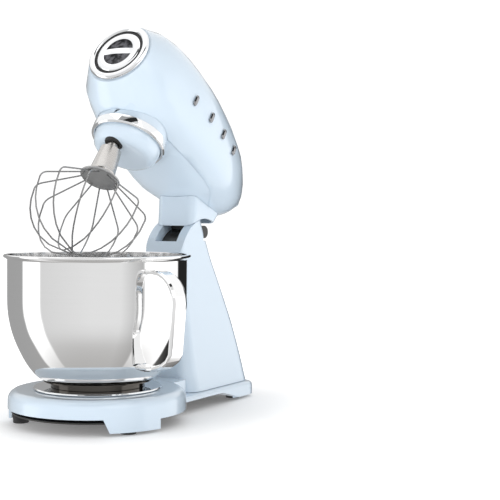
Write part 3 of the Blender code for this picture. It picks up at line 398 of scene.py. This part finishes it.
def softened(points, reach, closed=False, steps=3):
    """A profile with each corner rounded by short arcs of about this reach, in the profile's own unit."""
    made = []
    count = len(points)
    for i, point in enumerate(points):
        here = Vector(point)
        if not closed and i in (0, count - 1):
            made.append(tuple(here))
            continue
        before, after = Vector(points[i - 1]), Vector(points[(i + 1) % count])
        back = min(reach, (before - here).length * 0.45)
        ahead = min(reach, (after - here).length * 0.45)
        start = here + (before - here).normalized() * back
        end = here + (after - here).normalized() * ahead
        for k in range(steps + 1):
            t = k / steps
            made.append(tuple(start * (1 - t) ** 2 + here * (2 * t * (1 - t)) + end * t**2))
    return made


def curved(points, per_span=6):
    """A smooth curve through the points of a profile, with so many steps from each to the next."""
    made = []
    rows = [Vector(point) for point in points]
    for i in range(len(rows) - 1):
        first, second = rows[i], rows[i + 1]
        before = rows[i - 1] if i else first * 2 - second
        after = rows[i + 2] if i + 2 < len(rows) else second * 2 - first
        for k in range(per_span):
            t = k / per_span
            twice = 2 * first + (second - before) * t
            twice += (2 * before - 5 * first + 4 * second - after) * t**2
            twice += (3 * first - before - 3 * second + after) * t**3
            made.append(tuple(0.5 * twice))
    made.append(tuple(rows[-1]))
    return made


def turned_mesh(name, profile, carry, steps):
    """A fine turned mesh from a closed (radius, height) profile, round the z axis of carry's frame."""
    builder = bmesh.new()
    columns = []
    for k in range(steps):
        turn = 2 * math.pi * k / steps
        c, s = math.cos(turn), math.sin(turn)
        columns.append([carry @ Vector((r * c * MM, r * s * MM, z * MM)) for r, z in profile])
    pole = {}
    grid = []
    for column in columns:
        line = []
        for i, place in enumerate(column):
            if profile[i][0] == 0:
                if i not in pole:
                    pole[i] = builder.verts.new(place)
                line.append(pole[i])
            else:
                line.append(builder.verts.new(place))
        grid.append(line)
    count = len(profile)
    for k in range(steps):
        here, there = grid[k], grid[(k + 1) % steps]
        for i in range(count):
            j = (i + 1) % count
            corners = []
            for vert in (here[i], there[i], there[j], here[j]):
                if vert not in corners:
                    corners.append(vert)
            if len(corners) > 2:
                builder.faces.new(corners)
    bmesh.ops.recalc_face_normals(builder, faces=builder.faces)
    return smooth_mesh(builder, name, CRISP)


def lathe(node, profile, carry, steps=160, finish=None):
    """A fine turned piece in the CAD node's stead."""
    name = node + "_fine"
    return place_piece(name, turned_mesh(name, profile, carry, steps), node, finish)


SPRING_WIRE_R = 0.55 * MM
SPRING_TURNS = 6
SPRING_STEPS = 28
SPRING_SIDES = 8


def build_spring():
    """The button's spring as a coil of wire."""
    low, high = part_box("button_spring")
    centre = (low + high) / 2
    coil_r = (high.x - low.x) / 2 - SPRING_WIRE_R
    rise = high.z - low.z - 2 * SPRING_WIRE_R
    steps = SPRING_TURNS * SPRING_STEPS
    builder = bmesh.new()
    rings = []
    for i in range(steps + 1):
        turn = 2 * math.pi * i / SPRING_STEPS
        height = low.z + SPRING_WIRE_R + rise * i / steps
        ring = []
        for k in range(SPRING_SIDES):
            tilt = 2 * math.pi * k / SPRING_SIDES
            reach = coil_r + SPRING_WIRE_R * math.cos(tilt)
            place = (centre.x + reach * math.cos(turn), centre.y + reach * math.sin(turn))
            ring.append(builder.verts.new((*place, height + SPRING_WIRE_R * math.sin(tilt))))
        rings.append(ring)
    for first, second in zip(rings, rings[1:]):
        for k in range(SPRING_SIDES):
            j = (k + 1) % SPRING_SIDES
            builder.faces.new((first[k], second[k], second[j], first[j]))
    builder.faces.new(rings[0])
    builder.faces.new(list(reversed(rings[-1])))
    bmesh.ops.recalc_face_normals(builder, faces=builder.faces)
    mesh = smooth_mesh(builder, "button_spring_coil")
    coil = place_piece("button_spring_coil", mesh, "button_spring", FINISHES["steel_wire"])
    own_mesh(coil)


# The turned pieces' profiles, each as (radius, height) round its own axis in millimetres
SHAFT_SEAL = ((7.5, 222.6), (10.4, 222.0), (11.6, 223.2), (11.6, 227), (7.5, 227))
HUB_RING = ((44.5, 242.6), (45.6, 241.4), (47.2, 241.4), (49, 243.4), (49, 253.7), (44.5, 253.7))
FRONT_RING = ((34, 76.3), (42.6, 76.3), (42.6, 80), (40.4, 82.3), (36, 82.3), (34, 80.4))
FRONT_GASKET = ((30.7, 76.3), (33.6, 76.3), (33.6, 79.6), (30.7, 79.6))
HUB_COVER = (
    (0, 77.3), (30.4, 77.3), (30.4, 79.8), (29.6, 80.6), (27.4, 81.2), (21.2, 81.2), (20.8, 81.0), (10, 82.0),
    (0, 82.4),
)
SLEEVE = (
    (7.4, 181), (7.4, 213.2), (8.6, 214), (12.6, 214), (13.5, 213.2), (16.1, 181.4), (16.9, 179.6),
    (17.4, 178.2), (17.2, 176.4), (16.4, 176.0), (7.4, 176.0),
)
WHISK_DISC = ((0, 169), (24.5, 169), (25.5, 170), (25.5, 171.5), (17, 175.7), (0, 175.7))
BOWL_FLOOR = 54
BOWL_SIDE = (
    (50, 54), (64, 54.6), (73, 57), (84, 69), (94, 86), (103, 107), (108, 126), (110.3, 145), (110.5, 175),
)
BOWL_TOP = (110.5, 201.5)
BOWL_RIM = ((112.4, 203.6), (114.6, 204.4), (115.3, 206.2), (114.4, 207.7), (112.0, 208), (109.6, 207.2))
SHEET = 1.2
UPRIGHT_FROM, SLOPE_LIFT = 150, 0.5


def build_shaft_seal():
    """The black lip seal round the output shaft, in the carrier's bore."""
    seal = show("shaft_seal", turned_mesh("shaft_seal", softened(SHAFT_SEAL, 0.5, True), WHISK_AXIS, 96))
    seal.data.materials.append(FINISHES["gland_rubber"])
    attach(seal, "planet")


def bowl_profile():
    """The bowl's closed profile: outside, rolled rim, and inside, lifted a little where the wall slopes."""
    side = curved(BOWL_SIDE)
    outer = [(0, BOWL_FLOOR)] + side + [BOWL_TOP]
    inner = []
    for radius, height in reversed(side):
        lift = SLOPE_LIFT if height < UPRIGHT_FROM else 0
        inner.append((radius - SHEET, height + lift))
    return outer + curved(BOWL_RIM, 3) + inner + [(0, BOWL_FLOOR + SHEET)]


def build_fine_turned():
    """The turned pieces that show most: the bowl, the rings of both hubs, the whisk's sleeve and disc."""
    lathe("bowl", bowl_profile(), PLACED, 192)
    lathe("hub_trim_ring", softened(HUB_RING, 0.6, True), RAISED)
    lathe("front_trim_ring", softened(FRONT_RING, 1.1, True), FRONT_AXIS)
    lathe("front_gasket_ring", softened(FRONT_GASKET, 0.5, True), FRONT_AXIS)
    # the hub cover's chrome has painted shade and dark reflections in its sunk faces
    lathe("hub_cover", HUB_COVER, FRONT_AXIS, finish=FINISHES["hub_cap_painted_shade"])
    lathe("whisk_sleeve", SLEEVE, WHISK_AXIS)
    lathe("whisk_disc", softened(WHISK_DISC, 0.5), WHISK_AXIS)


# How far each smoothed copy's edges are softened, in millimetres
FINE_COPIES = {
    "base_casting": 0.9, "column_casting": 0.9, "head_upper_shell": 0.5, "head_underside_cover": 0.5,
    "rear_vent_grille": 0.3, "neck_shroud": 0.7, "planet_carrier": 0.4, "bowl_handle": 0.6, "bowl_foot": 0.4,
    "bowl_clamp_plate": 0.4, "release_button": 1.0, "speed_lever": 0.6, "hinge_drum": 0.5, "hinge_pin": 0.5,
    "base_cover": 0.4, "cord_gland": 0.4, "output_shaft": 0.3,
}


# The bowl's foot is polished steel coloured near-black, a painted dark reflection.
SPECIAL_FINISH = {"bowl_foot": FINISHES["steel_painted_dark_reflection"]}


def build_fine_copies():
    """Smoothed copies of the other solids that show."""
    for node, edge in FINE_COPIES.items():
        smooth_copy(node, edge, finish=SPECIAL_FINISH.get(node))
    for node in frame["nodes"]:
        if node.startswith("foot_"):
            smooth_copy(node, 0.5)
        elif node.startswith("side_mark"):
            # chrome coloured darker, a painted dark reflection
            smooth_copy(node, 0.4, finish=FINISHES["chrome_painted_dark_reflection"])
        elif node.startswith("whisk_wire"):
            smooth_copy(node, 0, 60)


# --- studio -----------------------------------------------------------------------------------------------

CAMERA_PLACE = (0.833714, SHIFT.y - 1.187543, 0.259004)
CAMERA_TURN = (math.radians(88.222), math.radians(-0.31), math.radians(28.38))
CAMERA_LENS = 84.38


def camera():
    lens = bpy.data.cameras.new("studio_camera")
    lens.lens = CAMERA_LENS
    lens.sensor_width = 36
    lens.clip_end = 50
    made = show("studio_camera", lens)
    made.location = CAMERA_PLACE
    made.rotation_euler = CAMERA_TURN
    bpy.context.scene.camera = made


def softbox(name, place, aim, width, height, power, mirrored):
    """A soft rectangular light at a place, turned to its aim. Unless it is mirrored, it shows in no metal."""
    panel = bpy.data.lights.new(name, "AREA")
    panel.shape = "RECTANGLE"
    panel.size = width
    panel.size_y = height
    panel.energy = power
    made = show(name, panel)
    made.location = place
    made.rotation_euler = (Vector(aim) - Vector(place)).to_track_quat("-Z", "Y").to_euler()
    made.visible_glossy = mirrored
    made.visible_camera = False


FLOOR_GLOW = 0.72
FLOOR_HALF = 6.0
FLOOR_DROP = 0.2 * MM
SHADE_DEPTH = 0.45


def floor():
    """White studio paper. It glows, so that it stays white, and glows less close under the mixer: a painted
    shadow there, on top of the cast one.
    """
    mesh = bpy.data.meshes.new("studio_floor")
    corners = [(FLOOR_HALF * x, FLOOR_HALF * y, 0) for x, y in ((-1, -1), (1, -1), (1, 1), (-1, 1))]
    mesh.from_pydata(corners, [], [(0, 1, 2, 3)])
    made = show("studio_floor", mesh)
    made.location.z = -FLOOR_DROP
    sheet, nodes, shader = finish_of("studio_paper", (0.9, 0.9, 0.9), 0.7, emission_color=(1, 1, 1))
    x, y, _ = nodes.split(nodes.places())
    # less glow close under the mixer paints a shadow there
    painted_shadow_fade = (x * x + y * y * SHADE_DEPTH).root().within(0.07, 0.30, 0.16, 1.0)
    nodes.plug(shader.inputs["Emission Color"], nodes.colours(painted_shadow_fade, (0, 0, 0), (1, 1, 1)))
    shader.inputs["Emission Strength"].default_value = FLOOR_GLOW
    nodes.plug(shader.inputs["Roughness"], nodes.noise(120.0).within(0.3, 0.7, 0.65, 0.75))
    made.data.materials.append(sheet)
    made.visible_glossy = False


# Brightness of the surroundings by bearing, as a share of a turn from the camera's side round by its right
ROOM_BANDS = (
    (0.00, 0.84), (0.10, 0.84), (0.185, 0.50), (0.195, 1.50), (0.355, 1.50), (0.365, 0.02), (0.47, 0.02),
    (0.49, 0.5), (0.51, 0.36), (0.715, 0.40), (0.725, 1.50), (0.80, 1.50), (0.81, 0.74), (1.00, 0.84),
)
CEILING = (1.1, 1.1, 1.1)
RAFTER = (0.03, 0.03, 0.03)
GROUND = (0.42, 0.41, 0.40)
FILL_LEFT, FILL_RIGHT = (0.7, 0.7, 0.7), (1.5, 1.5, 1.5)
BACKDROP = (2.0, 2.0, 2.0)
ROOM_STRENGTH, MIRROR_EXTRA = 0.54, 0.46


def room():
    """The metal mirrors a pale room with dark panels behind. Other surfaces get an even fill from around,
    brighter from the right, and the background seen straight is plain white.
    """
    world = bpy.data.worlds.new("studio_room")
    world.use_nodes = True
    bpy.context.scene.world = world
    nodes = Nodes(world.node_tree)
    x, y, z = nodes.split(nodes.add("TexCoord", output="Generated"))
    turn = CAMERA_TURN[2]
    ahead = x * math.sin(turn) - y * math.cos(turn)
    aside = x * math.cos(turn) + y * math.sin(turn)
    bearing = aside.atan2(ahead) / (2 * math.pi)
    bearing = nodes.add("Math", {"operation": "FRACT"}, {0: bearing + 1.0})
    stops = [(place, (level, level, level)) for place, level in ROOM_BANDS]
    bands = nodes.add("ValToRGB", {"stops": stops}, {"Fac": bearing})
    around = nodes.colours(z.within(0.2, 0.36), bands, CEILING)
    flat = (x * x + y * y).root()
    rafter = (ahead / (flat + 0.001)).within(0.66, 0.70) * z.within(0.70, 0.73)
    rafter = rafter * z.within(0.93, 0.95, 1.0, 0.0)
    around = nodes.colours(rafter, around, RAFTER)
    around = nodes.colours(z.within(-0.95, -0.35, 0.8, 0.0), around, GROUND)
    mirrored = nodes.add("LightPath", output="Is Glossy Ray")
    fill = nodes.colours(aside.within(-0.9, 0.7), FILL_LEFT, FILL_RIGHT)
    around = nodes.colours(mirrored, fill, around)
    seen = nodes.colours(nodes.add("LightPath", output="Is Camera Ray"), around, BACKDROP)
    background = world.node_tree.nodes["Background"]
    nodes.plug(background.inputs["Color"], seen)
    nodes.plug(background.inputs["Strength"], mirrored * MIRROR_EXTRA + ROOM_STRENGTH)


# Name, place, aim, width, height, power, whether the metal mirrors it
SOFTBOXES = (
    ("key_softbox", (1.6, -0.9, 1.5), (0, 0, 0.25), 1.2, 1.6, 4.5, True),
    ("top_softbox", (-0.2, -0.2, 2.0), (0, 0, 0.2), 1.6, 1.6, 3, True),
    ("left_softbox", (-1.3, -0.8, 0.12), (-0.05, -0.1, 0.04), 0.9, 0.16, 1.5, False),
    ("front_softbox", (-0.1, -1.15, 0.1), (0, -0.1, 0.03), 1.0, 0.12, 3, False),
)


def studio():
    """A plain view transform, bounces enough for steel that mirrors steel, camera, floor, room and lights."""
    bpy.context.scene.view_settings.view_transform = "Standard"
    bpy.context.scene.cycles.max_bounces = 16
    bpy.context.scene.cycles.glossy_bounces = 12
    camera()
    floor()
    room()
    for settings in SOFTBOXES:
        softbox(*settings)


dress_solids()
build_fine_turned()
build_fine_copies()
build_shaft_seal()
build_spring()
studio()
